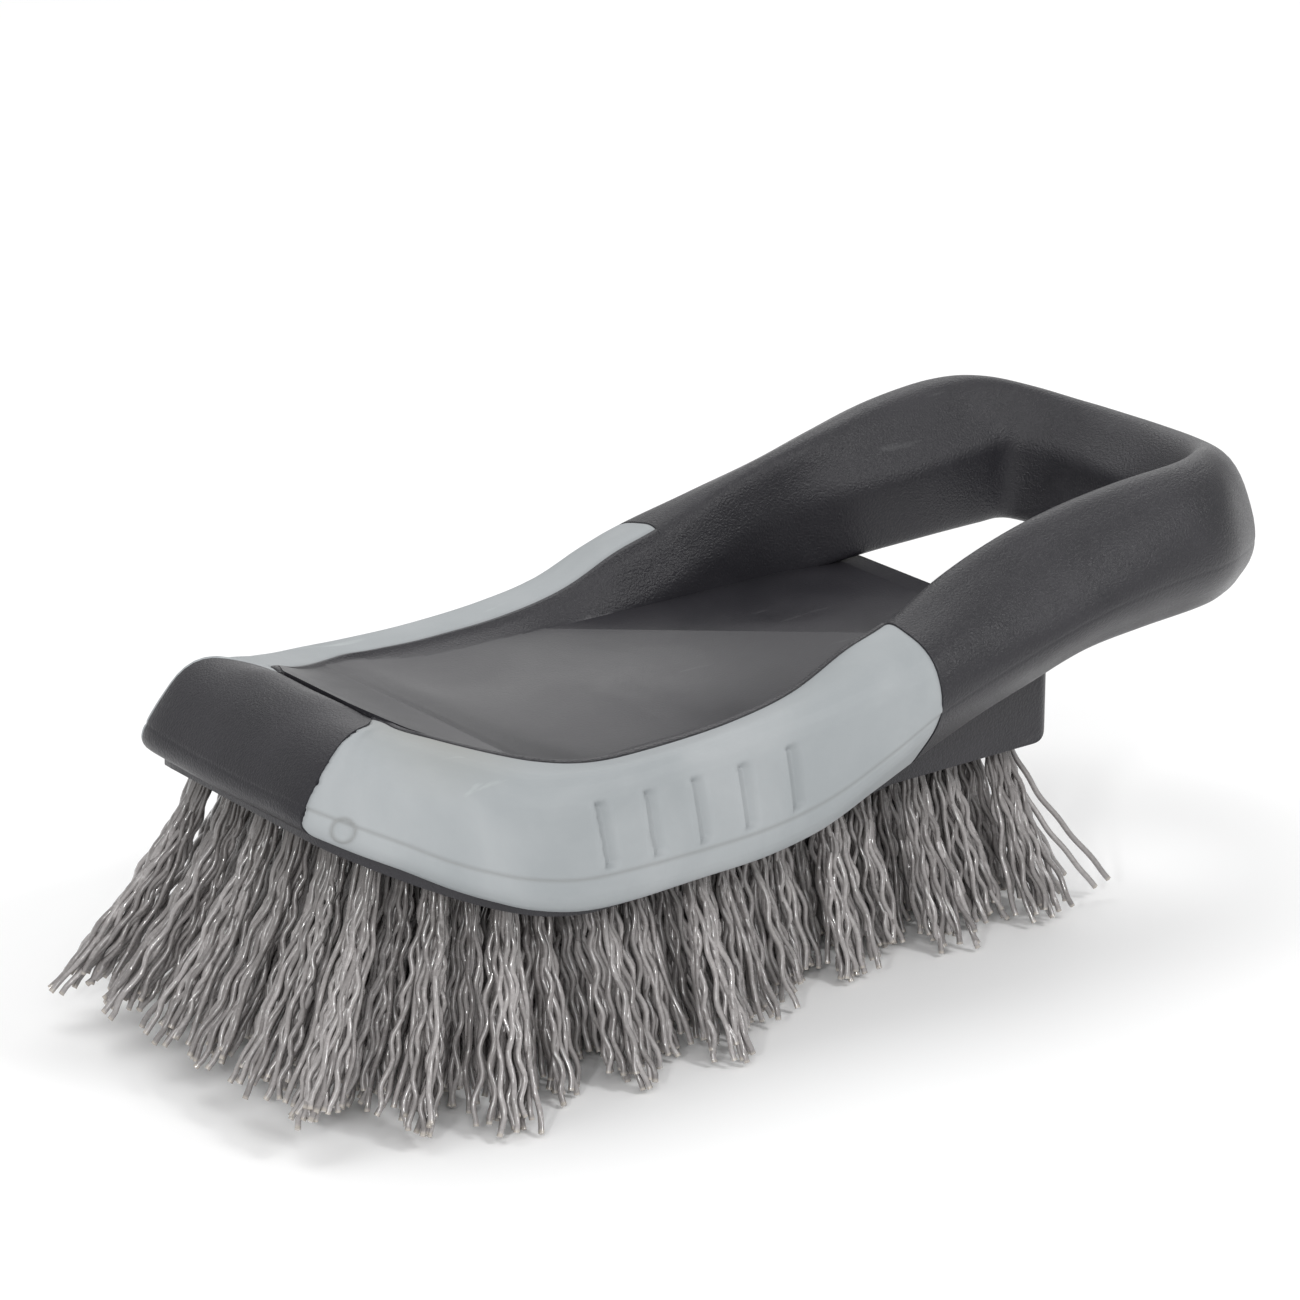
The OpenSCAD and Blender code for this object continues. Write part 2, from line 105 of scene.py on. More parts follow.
# one row per section of the rim: outer x, y; inner x, y; bottom inset, z; widest z;
# shoulder inset, z; border inset, z; wall top z; wall bottom z; bend to the middle
rimRows = [
    (noseX, 0, noseX + 27, 0, 0.8, noseUnder, noseUnder + 3.5, 7, ridge - 2,
     14.5, ridge + 0.9, ridge - 7, noseUnder - 9, 0),
    (noseX + 0.2, halfNose * 0.47, noseX + 27, halfNose * 0.33, 0.8, noseUnder, noseUnder + 3.5,
     7, ridge - 2, 14.8, ridge + 0.8, ridge - 7, noseUnder - 9, 0),
    (noseX + 0.9, halfNose, noseX + 27, halfNose - 2.5, 0.8, noseUnder - 0.2, noseUnder + 3.3,
     9, ridge + 0.1, 19.8, ridge - 2.4, ridge - 8, noseUnder - 9, 8),
    (noseX + 5.8, flankAt(0.23), noseX + 29.7, halfNose - 9.4, 1.2, noseUnder - 3.1, noseUnder + 0.9,
     8.6, ridge - 0.9, 19.3, ridge - 3.3, ridge - 8.5, underside + 7, 0),
    (noseX + 11.8, flankAt(0.43), noseX + 32.9, halfNose - 7.4, 1.6, underside + 10.4, underside + 14.6,
     8.4, ridge - 2.8, 19.5, ridge - 5.2, ridge - 9.5, underside + 7, 0),
    (noseX + 17.5, flankAt(0.617), noseX + 36.7, halfNose - 4.6, 1.8, underside + 7.3, underside + 11.6,
     8.2, ridge - 5, 19.7, ridge - 6.8, ridge - 11, underside + 6, 0),
    (noseX + 23, flankAt(0.762), noseX + 40.5, halfNose - 1.5, 1.9, underside + 4.9, underside + 9.5,
     7.6, ridge - 6.8, 19.3, deckZ + 4.1, deckZ + 0.5, underside + 5, 0),
    (noseX + 29, flankAt(0.867), noseX + 44.3, halfNose + 0.4, 2, underside + 2.7, underside + 7.8,
     6.8, deckZ + 4, 18, deckZ + 3.1, deckZ, underside + 4, 0),
    (noseX + 37.5, flankAt(0.912), noseX + 48.4, halfNose + 2.3, 2, underside + 0.7, underside + 6,
     5.9, deckZ + 3.2, 15.2, deckZ + 2.3, deckZ - 1, underside + 4, 0),
    (noseX + 47.5, flankAt(0.917), noseX + 54, halfNose + 0.5, 2, underside, underside + 5.4,
     5.2, deckZ + 2.8, 13.1, deckZ + 1.5, deckZ - 1, underside + 4, 0),
    (noseX + 61.5, flankAt(0.888), noseX + 61.5, halfNose + 0.5, 2, underside, underside + 4.8,
     4.6, deckZ + 2.9, 12, deckZ + 1.3, deckZ - 1, underside + 4, 0),
    (noseX + 75, flankAt(0.87), noseX + 75, halfNose + 1.5, 2.4, underside, underside + 5,
     4.1, deckZ + 3.7, 12, deckZ + 2, deckZ - 1, underside + 4, 0),
    (gripX - 20, flankAt(0.88), gripX - 20, halfBlock - 2, 4.2, underside + 1, underside + 7.5,
     3.5, deckZ + 5, 12.7, deckZ + 4.4, deckZ - 1, underside + 5, 0),
    (gripX - 9, flankAt(0.93), gripX - 9, halfBlock - 1.5, 7, underside + 4, underside + 13,
     3, deckZ + 7.6, 14.4, deckZ + 9.3, deckZ, underside + 8, 0),
    (gripX, flankAt(0.98), gripX, halfBlock - 1.3, 9, underside + 6.8, underside + 18.5,
     3.4, deckZ + 9.4, 15.9, deckZ + 12.1, deckZ + 2.5, underside + 10, 0),
    (armAt(0.31), halfWidth - 0.7, armAt(0.31), halfBlock - 1.3, 8.5, underside + 11.5, underside + 22,
     5.2, crown - 13.2, 17, crown - 8.2, deckZ + 6.8, underside + 13, 0),
    (armAt(0.62), halfWidth - 1, armAt(0.62), halfBlock - 1.6, 8.2, underside + 15, underside + 25,
     6.4, crown - 10.4, 17.4, crown - 4.4, deckZ + 11, underside + 16, 0),
    (blockX - 3, halfWidth - 1.2, blockX - 3, halfOpening + 1.4, 8, underside + 18.2, underside + 27.5,
     6, crown - 7.4, 16.6, crown - 1.8, deckZ + 13, underside + 19, 0),
    (blockX + 10, halfWidth - 1.6, blockX + 10, halfOpening, 8, underside + 19.2, underside + 29,
     5, crown - 4.6, 15, crown + 0.3, deckZ + 14.2, underside + 20, 0),
    (openingX - 13, halfWidth - 3, openingX - 13, halfOpening + 0.3, 7.6, underside + 19.5, underside + 29,
     4.6, crown - 2.8, 13.4, crown + 1.2, deckZ + 15.6, underside + 20, 0),
    (openingX - 3.5, halfWidth - 8, openingX - 6.5, halfOpening, 6.5, underside + 18.6, underside + 28,
     4.4, crown - 2.6, 12.2, crown + 1, deckZ + 15.8, underside + 20, 0),
    (loopX - 13, halfWidth - 16, openingX - 3, halfOpening - 4, 5.4, underside + 17, underside + 26,
     4.4, crown - 4.2, 11.2, crown - 0.8, deckZ + 15, underside + 19, 0),
    (loopX - 5.2, halfWidth - 26.5, openingX - 1, halfOpening - 9.5, 4.6, underside + 15.6, underside + 24.4,
     4.4, crown - 5.8, 10.6, crown - 3, deckZ + 14, underside + 18, 0),
    (loopX - 1.2, halfWidth - 37, openingX, halfOpening - 15.5, 4.2, underside + 14.8, underside + 23.4,
     4.2, crown - 6.8, 10.2, crown - 4.4, deckZ + 13, underside + 17, 0),
    (loopX, 0, openingX, 0, 4, underside + 14.6, underside + 23,
     4.2, crown - 7.2, 10, crown - 4.8, deckZ + 12.6, underside + 17, 0)
]
lastRow = len(rimRows) - 1
gripStart, gripEnd = 2, 14


# ---- sections
section = {
    "cornerRound": [3, 8, 6, 4, 2, 2.5],
    "cornerPoints": 7,
    "spanPoints": 4,        # between two corners
    "fineStops": [0, 0.15, 0.27, 0.35, 0.4, 0.44, 0.47, 0.5, 0.53, 0.56, 0.6, 0.65, 0.73, 0.85, 1],
    "stepsPerRow": 8,
    "bendInset": 20.0,
}


def rimRow(i):
    row = rimRows[-i] if i < 0 else rimRows[2 * lastRow - i] if i > lastRow else rimRows[i]
    if i < 0 or i > lastRow:
        row = (row[0], -row[1], row[2], -row[3]) + row[4:]
    return np.array(row, float)


def rimAt(u):
    i = min(int(math.floor(u)), lastRow - 1)
    t = u - i
    a, b, c, d = (rimRow(i + k) for k in (-1, 0, 1, 2))
    square = 2 * a - 5 * b + 4 * c - d
    cube = 3 * b - a - 3 * c + d
    return 0.5 * (2 * b + (c - a) * t + square * t * t + cube * t ** 3)


def sectionCorners(row):
    width = math.hypot(row[2] - row[0], row[3] - row[1])
    corners = ((row[4], row[5]), (0, row[6]), (row[7], row[8]), (row[9], row[10]),
               (width, row[11]), (width, row[12]))
    return [np.array(corner) for corner in corners]


def cornerArc(corners, i):
    before, here, after = corners[i - 1], corners[i], corners[(i + 1) % 6]
    toBefore = before - here
    toAfter = after - here
    reachIn = min(section["cornerRound"][i], 0.45 * np.linalg.norm(toBefore))
    reachOut = min(section["cornerRound"][i], 0.45 * np.linalg.norm(toAfter))
    start = here + toBefore * reachIn / np.linalg.norm(toBefore)
    end = here + toAfter * reachOut / np.linalg.norm(toAfter)
    stops = section["fineStops"] if i in (1, 3) else np.linspace(0, 1, section["cornerPoints"])
    return [start * (1 - t) ** 2 + here * 2 * t * (1 - t) + end * t * t for t in stops]


def sectionOutline(row):
    # closed outline that starts at the bottom edge; the grips end at borderMiddle
    corners = sectionCorners(row)
    outline = []
    for i in range(6):
        arc = cornerArc(corners, i)
        if outline:
            last = outline[-1]
            for k in range(1, section["spanPoints"] + 1):
                outline.append(last + (arc[0] - last) * k / (section["spanPoints"] + 1))
        outline.extend(arc)
    last = outline[-1]
    for k in range(1, section["spanPoints"] + 1):
        outline.append(last + (outline[0] - last) * k / (section["spanPoints"] + 1))
    return np.array(outline)


perCorner = section["cornerPoints"] + section["spanPoints"]
moreStops = len(section["fineStops"]) - section["cornerPoints"]
outlinePoints = 6 * perCorner + 2 * moreStops
widestMiddle = perCorner + len(section["fineStops"]) // 2
borderMiddle = 3 * perCorner + moreStops + len(section["fineStops"]) // 2


def placePoints(row, outline):
    across = np.array([row[2] - row[0], row[3] - row[1]])
    across = across / np.linalg.norm(across)
    inset = outline[:, 0]
    bend = row[13] * np.clip(inset / section["bendInset"], 0, 1) ** 4
    return np.stack([row[0] + across[0] * inset, row[1] + across[1] * inset - bend, outline[:, 1]], 1)


def outwardNormals(outline):
    along = np.roll(outline, -1, 0) - np.roll(outline, 1, 0)
    length = np.linalg.norm(along, axis=1, keepdims=True)
    return np.stack([-along[:, 1], along[:, 0]], 1) / np.maximum(length, 1e-9)


def smoothStep(value, low, high):
    t = np.clip((value - low) / (high - low), 0, 1)
    return t * t * (3 - 2 * t)


def meshObject(name, points, faces, material=None):
    mesh = bpy.data.meshes.new(name)
    mesh.from_pydata([tuple(p) for p in np.asarray(points) * mm], [], faces)
    mesh.update()
    obj = bpy.data.objects.new(name, mesh)
    scene.collection.objects.link(obj)
    if material:
        mesh.materials.append(material)
    return obj


def outwardFaces(obj):
    bm = bmesh.new()
    bm.from_mesh(obj.data)
    bmesh.ops.remove_doubles(bm, verts=bm.verts, dist=1e-7)
    bmesh.ops.recalc_face_normals(bm, faces=bm.faces)
    bm.to_mesh(obj.data)
    bm.free()


def finishShading(obj, degrees):
    # the block's large flat faces stay flat, so that their shading doesn't bend at the corners
    smooth = [face.area < 0.0005 for face in obj.data.polygons]
    obj.data.polygons.foreach_set("use_smooth", smooth)
    obj.data.set_sharp_from_angle(angle=math.radians(degrees))


def applyModifier(obj, modifier):
    # bakes the evaluated object into its own mesh and drops the modifier
    graph = bpy.context.evaluated_depsgraph_get()
    mesh = bpy.data.meshes.new_from_object(obj.evaluated_get(graph))
    obj.modifiers.remove(modifier)
    old = obj.data
    obj.data = mesh
    mesh.name = obj.name
    bpy.data.meshes.remove(old)


# ---- shader groups
def groupSocket(tree, name, kind, inOut, value=None):
    socket = tree.interface.new_socket(name=name, in_out=inOut, socket_type=kind)
    if value is not None:
        socket.default_value = value
    return socket


def newGroup(name, inputs, outputs):
    tree = bpy.data.node_groups.new(name, "ShaderNodeTree")
    for label, value in inputs.items():
        groupSocket(tree, label, "NodeSocketFloat", "INPUT", value)
    for label in outputs:
        groupSocket(tree, label, "NodeSocketFloat", "OUTPUT")
    nodes = tree.nodes
    return tree, nodes, tree.links, nodes.new("NodeGroupInput"), nodes.new("NodeGroupOutput")


def feed(links, value, socket):
    # the value is another node's output or a plain number
    if hasattr(value, "node"):
        links.new(value, socket)
    else:
        socket.default_value = value


def mathNode(nodes, links, operation, a, b=None, clamp=False):
    node = nodes.new("ShaderNodeMath")
    node.operation = operation
    node.use_clamp = clamp
    for index, value in enumerate((a, b)):
        if value is not None:
            feed(links, value, node.inputs[index])
    return node.outputs[0]


def addNoise(nodes, links, place, scale, values):
    node = nodes.new("ShaderNodeTexNoise")
    for name, value in values.items():
        node.inputs[name].default_value = value
    links.new(place, node.inputs["Vector"])
    links.new(scale, node.inputs["Scale"])
    return node.outputs["Fac"]


def buildGrainGroup():
    # spark-eroded mould texture: fine pits with a slower swell under them
    values = {"Grain Scale": 2200.0, "Swell Scale": 320.0, "Swell Share": 0.3}
    tree, nodes, links, inNode, outNode = newGroup("mouldGrain", values, ("Height", "Pits"))
    place = nodes.new("ShaderNodeTexCoord").outputs["Object"]
    fine = addNoise(nodes, links, place, inNode.outputs["Grain Scale"],
                    {"Detail": 2.0, "Roughness": 0.62})
    swell = addNoise(nodes, links, place, inNode.outputs["Swell Scale"], {"Detail": 3.0})
    slow = mathNode(nodes, links, "MULTIPLY", swell, inNode.outputs["Swell Share"])
    height = mathNode(nodes, links, "ADD", fine, slow)
    pits = mathNode(nodes, links, "GREATER_THAN", fine, 0.66)
    links.new(height, outNode.inputs["Height"])
    links.new(pits, outNode.inputs["Pits"])
    return tree


def buildScuffGroup():
    # long faint rub marks and a blotchy handling mask
    values = {"Blotch Scale": 60.0, "Scratch Scale": 120.0, "Scratch Level": 0.7}
    tree, nodes, links, inNode, outNode = newGroup("handlingMarks", values, ("Blotch", "Scratch"))
    place = nodes.new("ShaderNodeTexCoord").outputs["Object"]
    blotch = addNoise(nodes, links, place, inNode.outputs["Blotch Scale"],
                      {"Detail": 5.0, "Distortion": 0.6})
    stretch = nodes.new("ShaderNodeMapping")
    stretch.inputs["Scale"].default_value = (0.35, 3.2, 1.4)
    stretch.inputs["Rotation"].default_value = (0.2, 0.1, 0.45)
    links.new(place, stretch.inputs["Vector"])
    scratch = addNoise(nodes, links, stretch.outputs["Vector"],
                       inNode.outputs["Scratch Scale"], {"Detail": 6.0})
    over = mathNode(nodes, links, "SUBTRACT", scratch, inNode.outputs["Scratch Level"])
    mask = mathNode(nodes, links, "MULTIPLY", over, 9.0, clamp=True)
    links.new(blotch, outNode.inputs["Blotch"])
    links.new(mask, outNode.inputs["Scratch"])
    return tree


grainGroup = buildGrainGroup()
scuffGroup = buildScuffGroup()


def newMaterial(name):
    material = bpy.data.materials.new(name)
    material.use_nodes = True
    nodes, links = material.node_tree.nodes, material.node_tree.links
    nodes.clear()
    output = nodes.new("ShaderNodeOutputMaterial")
    shader = nodes.new("ShaderNodeBsdfPrincipled")
    links.new(shader.outputs["BSDF"], output.inputs["Surface"])
    return material, nodes, links, shader


def useGroup(nodes, group, values):
    node = nodes.new("ShaderNodeGroup")
    node.node_tree = group
    for name, value in values.items():
        node.inputs[name].default_value = value
    return node


def readAttribute(nodes, name):
    node = nodes.new("ShaderNodeAttribute")
    node.attribute_name = name
    return node.outputs["Fac"]


def mixColour(nodes, links, factor, a, b):
    node = nodes.new("ShaderNodeMix")
    node.data_type = "RGBA"
    for socket, value in ((node.inputs[0], factor), (node.inputs[6], a), (node.inputs[7], b)):
        feed(links, value, socket)
    return node.outputs[2]


def mapRange(nodes, links, value, low, high, toLow, toHigh):
    node = nodes.new("ShaderNodeMapRange")
    links.new(value, node.inputs["Value"])
    for name, number in (("From Min", low), ("From Max", high), ("To Min", toLow), ("To Max", toHigh)):
        node.inputs[name].default_value = number
    return node.outputs["Result"]


def addBump(nodes, links, shader, height, strength, distance):
    bump = nodes.new("ShaderNodeBump")
    feed(links, strength, bump.inputs["Strength"])
    bump.inputs["Distance"].default_value = distance
    links.new(height, bump.inputs["Height"])
    links.new(bump.outputs["Normal"], shader.inputs["Normal"])


plastic = {
    "colour": (0.0165, 0.016, 0.0195, 1),
    "worn": (0.025, 0.024, 0.0285, 1),
    "scratch": (0.06, 0.06, 0.064, 1),
    "roughLow": 0.31,
    "roughHigh": 0.42,
    "bump": 1.0,
    "deckBump": 0.2,
    "bumpDepth": 0.00018,
    "grain": {"Grain Scale": 2600.0, "Swell Scale": 700.0, "Swell Share": 0.25},
    "marks": {"Blotch Scale": 55.0, "Scratch Scale": 150.0, "Scratch Level": 0.69},
}


def buildPlastic():
    material, nodes, links, shader = newMaterial("charcoalPlastic")
    grain = useGroup(nodes, grainGroup, plastic["grain"])
    marks = useGroup(nodes, scuffGroup, plastic["marks"])
    patches = marks.outputs["Blotch"]
    blotch = mapRange(nodes, links, patches, 0.35, 0.7, 0.0, 1.0)
    base = mixColour(nodes, links, blotch, plastic["colour"], plastic["worn"])
    scratched = mixColour(nodes, links, marks.outputs["Scratch"], base, plastic["scratch"])
    links.new(scratched, shader.inputs["Base Color"])
    rough = mapRange(nodes, links, patches, 0.3, 0.7, plastic["roughLow"], plastic["roughHigh"])
    links.new(rough, shader.inputs["Roughness"])
    shader.inputs["Specular IOR Level"].default_value = 0.4
    polish = readAttribute(nodes, "polish")
    strength = mapRange(nodes, links, polish, 0.0, 1.0, plastic["bump"], plastic["deckBump"])
    addBump(nodes, links, shader, grain.outputs["Height"], strength, plastic["bumpDepth"])
    return material


rubber = {
    "colour": (0.285, 0.305, 0.315, 1),
    "pale": (0.345, 0.362, 0.372, 1),
    "stain": (0.27, 0.265, 0.23, 1),
    "scratch": (0.42, 0.45, 0.45, 1),
    # painted shade along the grip's parting line; the same colour also darkens the gate ring
    "line": (0.16, 0.16, 0.15, 1),
    "roughLow": 0.52,
    "roughHigh": 0.66,
    "stainAt": (-0.068, -0.020, 0.056),
    "stainReach": 0.016,
    "stainShare": 0.55,
    "lineShare": 0.5,
    "bump": 0.22,
    "bumpDepth": 0.00012,
    "grain": {"Grain Scale": 900.0, "Swell Scale": 140.0, "Swell Share": 0.8},
    "marks": {"Blotch Scale": 48.0, "Scratch Scale": 90.0, "Scratch Level": 0.66},
}


def buildRubber():
    material, nodes, links, shader = newMaterial("greyRubber")
    grain = useGroup(nodes, grainGroup, rubber["grain"])
    marks = useGroup(nodes, scuffGroup, rubber["marks"])
    patches = marks.outputs["Blotch"]
    blotch = mapRange(nodes, links, patches, 0.35, 0.68, 0.0, 1.0)
    base = mixColour(nodes, links, blotch, rubber["colour"], rubber["pale"])
    place = nodes.new("ShaderNodeTexCoord")
    distance = nodes.new("ShaderNodeVectorMath")
    distance.operation = "DISTANCE"
    links.new(place.outputs["Object"], distance.inputs[0])
    distance.inputs[1].default_value = rubber["stainAt"]
    reach = rubber["stainReach"]
    near = mapRange(nodes, links, distance.outputs["Value"], 0.0, reach, rubber["stainShare"], 0.0)
    stained = mixColour(nodes, links, near, base, rubber["stain"])
    scratched = mixColour(nodes, links, marks.outputs["Scratch"], stained, rubber["scratch"])
    # painted shade on the parting-line groove, and a darker gate ring
    seamShadeAndGateRing = readAttribute(nodes, "seamShadeAndGateRing")
    share = mathNode(nodes, links, "MULTIPLY", seamShadeAndGateRing, rubber["lineShare"])
    lined = mixColour(nodes, links, share, scratched, rubber["line"])
    links.new(lined, shader.inputs["Base Color"])
    rough = mapRange(nodes, links, patches, 0.3, 0.7, rubber["roughLow"], rubber["roughHigh"])
    links.new(rough, shader.inputs["Roughness"])
    shader.inputs["Specular IOR Level"].default_value = 0.4
    addBump(nodes, links, shader, grain.outputs["Height"], rubber["bump"], rubber["bumpDepth"])
    return material


filament = {
    # painted shade: the filaments darken towards their roots under the block
    "root": (0.05, 0.044, 0.04, 1),
    "shaft": (0.19, 0.176, 0.172, 1),
    "pale": (0.36, 0.34, 0.335, 1),
    "cut": (0.46, 0.42, 0.37, 1),
    "roughness": 0.2,
    "coat": 0.7,
    "coatRoughness": 0.07,
    "grain": {"Grain Scale": 1400.0, "Swell Scale": 260.0, "Swell Share": 0.6},
}


def buildFilament():
    material, nodes, links, shader = newMaterial("crimpedNylon")
    along = readAttribute(nodes, "along")
    tone = readAttribute(nodes, "tone")
    shaft = mixColour(nodes, links, tone, filament["shaft"], filament["pale"])
    # painted shade near the roots, fading out by 45 per cent of the length
    rise = mapRange(nodes, links, along, 0.0, 0.45, 0.0, 1.0)
    shaded = mixColour(nodes, links, rise, filament["root"], shaft)
    end = mapRange(nodes, links, along, 0.985, 0.995, 0.0, 0.8)
    tipped = mixColour(nodes, links, end, shaded, filament["cut"])
    grain = useGroup(nodes, grainGroup, filament["grain"])
    streak = mapRange(nodes, links, grain.outputs["Height"], 0.5, 1.1, 0.78, 1.12)
    shade = nodes.new("ShaderNodeVectorMath")
    shade.operation = "SCALE"
    links.new(tipped, shade.inputs[0])
    links.new(streak, shade.inputs["Scale"])
    links.new(shade.outputs["Vector"], shader.inputs["Base Color"])
    middle = filament["roughness"]
    rough = mapRange(nodes, links, grain.outputs["Height"], 0.5, 1.1, middle - 0.06, middle + 0.12)
    links.new(rough, shader.inputs["Roughness"])
    shader.inputs["Specular IOR Level"].default_value = 0.7
    shader.inputs["Coat Weight"].default_value = filament["coat"]
    shader.inputs["Coat Roughness"].default_value = filament["coatRoughness"]
    addBump(nodes, links, shader, grain.outputs["Height"], 0.12, 0.00005)
    return material


steel = {
    "colour": (0.56, 0.56, 0.58, 1),
    "pit": (0.42, 0.41, 0.4, 1),
    "roughLow": 0.24,
    "roughHigh": 0.42,
    "bump": 0.15,
    "bumpDepth": 0.00003,
    "grain": {"Grain Scale": 2600.0, "Swell Scale": 700.0, "Swell Share": 0.5},
}


def buildSteel():
    material, nodes, links, shader = newMaterial("drawnSteel")
    grain = useGroup(nodes, grainGroup, steel["grain"])
    tint = mixColour(nodes, links, grain.outputs["Pits"], steel["colour"], steel["pit"])
    links.new(tint, shader.inputs["Base Color"])
    shader.inputs["Metallic"].default_value = 1.0
    height = grain.outputs["Height"]
    rough = mapRange(nodes, links, height, 0.4, 1.2, steel["roughLow"], steel["roughHigh"])
    links.new(rough, shader.inputs["Roughness"])
    addBump(nodes, links, shader, height, steel["bump"], steel["bumpDepth"])
    return material


plasticMaterial = buildPlastic()
rubberMaterial = buildRubber()
filamentMaterial = buildFilament()
steelMaterial = buildSteel()
print("materials built")


# ---- body
shell = {
    "recess": 1.3,          # under the grips
    "recessEdge": 0.35,     # how far inside a grip's edge the recess starts
    "lipHeight": 0.45,      # black lip along the inner edge of the grips
    "lipWidth": 1.3,
    "slabInset": 4.0,
    "slabHeight": 8.0,
    "deckInset": 1.2,
    "cornerRadius": 3.0,
    "underRadius": 4.0,
    "edgeBevel": 0.5,
    "seamDepth": 0.1,       # mould parting line round the rim
}


def edgeDistance(u):
    # rough distance in millimetres of section u from the nearer end of the grip
    start = rimAt(gripStart)
    end = rimAt(gripEnd)
    row = rimAt(u)
    fromStart = math.dist(row[:2], start[:2]) if u > gripStart else -1
    fromEnd = math.dist(row[:2], end[:2]) if u < gripEnd else -1
    return min(fromStart, fromEnd)


def bodyRing(u):
    row = rimAt(u)
    outline = sectionOutline(row)
    step = np.linalg.norm(np.diff(outline, axis=0), axis=1)
    arc = np.concatenate([[0], np.cumsum(step)])
    seam = np.exp(-((arc - arc[widestMiddle]) / 0.25) ** 2) * shell["seamDepth"]
    outline = outline - outwardNormals(outline) * seam[:, None]
    if gripStart < u < gripEnd:
        fromBorder = arc[borderMiddle] - arc
        inside = smoothStep(fromBorder, 0.05, shell["recessEdge"]) * smoothStep(arc, 0.05, 0.6)
        ends = float(smoothStep(edgeDistance(u), 0.0, shell["recessEdge"]))
        lip = np.exp(-((fromBorder + shell["lipWidth"] * 0.5) / (shell["lipWidth"] * 0.45)) ** 2)
        lip = lip * (fromBorder < 0.1)
        move = lip * shell["lipHeight"] * ends - inside * ends * shell["recess"]
        outline = outline + outwardNormals(outline) * move[:, None]
    return placePoints(row, outline)


def buildRim():
    stops = []
    for k in range(lastRow * section["stepsPerRow"] + 1):
        stops.append(k / section["stepsPerRow"])
    stops += [gripStart + 0.03, gripStart + 0.07, gripEnd - 0.04, gripEnd - 0.02]
    half = [bodyRing(u) for u in sorted(set(stops))]
    other = [ring * np.array([1, -1, 1]) for ring in half[-2:0:-1]]
    rings = half + other
    count = len(rings)
    faces = []
    for k in range(count):
        nextRing = (k + 1) % count
        for i in range(outlinePoints):
            j = (i + 1) % outlinePoints
            faces.append((k * outlinePoints + i, nextRing * outlinePoints + i,
                          nextRing * outlinePoints + j, k * outlinePoints + j))
    rim = meshObject("rim", np.concatenate(rings), faces, plasticMaterial)
    outwardFaces(rim)
    return rim


def planPoint(u, inset):
    row = rimAt(u)
    return placePoints(row, np.array([[inset, 0.0]]))[0][:2]


def prism(name, outline, axis, low, high):
    # a closed prism along z, or along y where the outline is a side view
    points = []
    for level in (low, high):
        for a, b in outline:
            points.append((a, b, level) if axis == "z" else (a, level, b))
    n = len(outline)
    faces = [tuple(range(n - 1, -1, -1)), tuple(range(n, 2 * n))]
    faces += [(i, (i + 1) % n, n + (i + 1) % n, n + i) for i in range(n)]
    obj = meshObject(name, points, faces, plasticMaterial)
    outwardFaces(obj)
    return obj


def combine(target, other, operation):
    modifier = target.modifiers.new(operation, "BOOLEAN")
    modifier.operation = operation
    modifier.solver = "EXACT"
    modifier.object = other
    applyModifier(target, modifier)
    bpy.data.objects.remove(other)


def blockPart(name, side, profile, bevel):
    mirrored = [(x, -y) for x, y in reversed(side)]
    part = prism(name, side + mirrored, "z", 0, crown)
    combine(part, prism(name + "Side", profile, "y", -halfWidth, halfWidth), "INTERSECT")
    modifier = part.modifiers.new("edges", "BEVEL")
    modifier.width = bevel * mm
    modifier.segments = 3
    modifier.limit_method = "ANGLE"
    modifier.angle_limit = math.radians(50)
    applyModifier(part, modifier)
    return part


def quarterTurn(x, y, radius, first):
    # a quarter circle in steps of ten degrees, clockwise from the first angle
    turns = [math.radians(a) for a in range(first, first - 91, -10)]
    return [(x + radius * math.cos(a), y + radius * math.sin(a)) for a in turns]


def buildBlock():
    slabFront = noseX + 4
    deckFront = noseX + 19
    r = shell["cornerRadius"]
    rear = quarterTurn(blockX - r, halfBlock - r, r, 90)
    slabSide = [tuple(planPoint(u, shell["slabInset"])) for u in np.arange(0.5, 11.01, 0.25)]
    slabSide += [(gripX - 22, halfBlock + 7), (gripX - 14, halfBlock + 2), (gripX - 6, halfBlock)] + rear
    deckSide = [(deckFront, halfNose * 0.4)]
    deckSide += [tuple(planPoint(u, rimAt(u)[9] + shell["deckInset"]))
                 for u in np.arange(3, gripEnd + 0.01, 0.25)]
    deckSide += [(gripX + 6, halfBlock)] + rear
    r = shell["underRadius"]
    edge = quarterTurn(blockX - r, underside + r, r, 0)
    fromNose = list(np.arange(slabFront, underTurnX, 1.5)) + [underTurnX]
    slabProfile = [(x, underAt(x) + shell["slabHeight"]) for x in fromNose]
    slabProfile += [(blockX, underside + shell["slabHeight"])] + edge
    slabProfile += [(x, underAt(x)) for x in reversed(fromNose)]
    deckProfile = [(x, deckAt(x)) for x in np.arange(deckFront, deckTurnX, 1.5)]
    deckProfile += [(deckTurnX, deckZ), (blockX, deckZ)] + edge
    deckProfile += [(x, underAt(x) + 1) for x in reversed(fromNose) if x >= deckFront]
    slab = blockPart("slab", slabSide, slabProfile, shell["edgeBevel"])
    deck = blockPart("deck", deckSide, deckProfile, shell["edgeBevel"])
    combine(slab, deck, "UNION")
    return slab


bodyShell = buildRim()
combine(bodyShell, buildBlock(), "UNION")
bodyShell.name = "bodyShell"
bodyShell.data.name = "bodyShell"
finishShading(bodyShell, 34)
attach(bodyShell, "root")
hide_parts("body")
print("body built:", len(bodyShell.data.polygons), "faces")


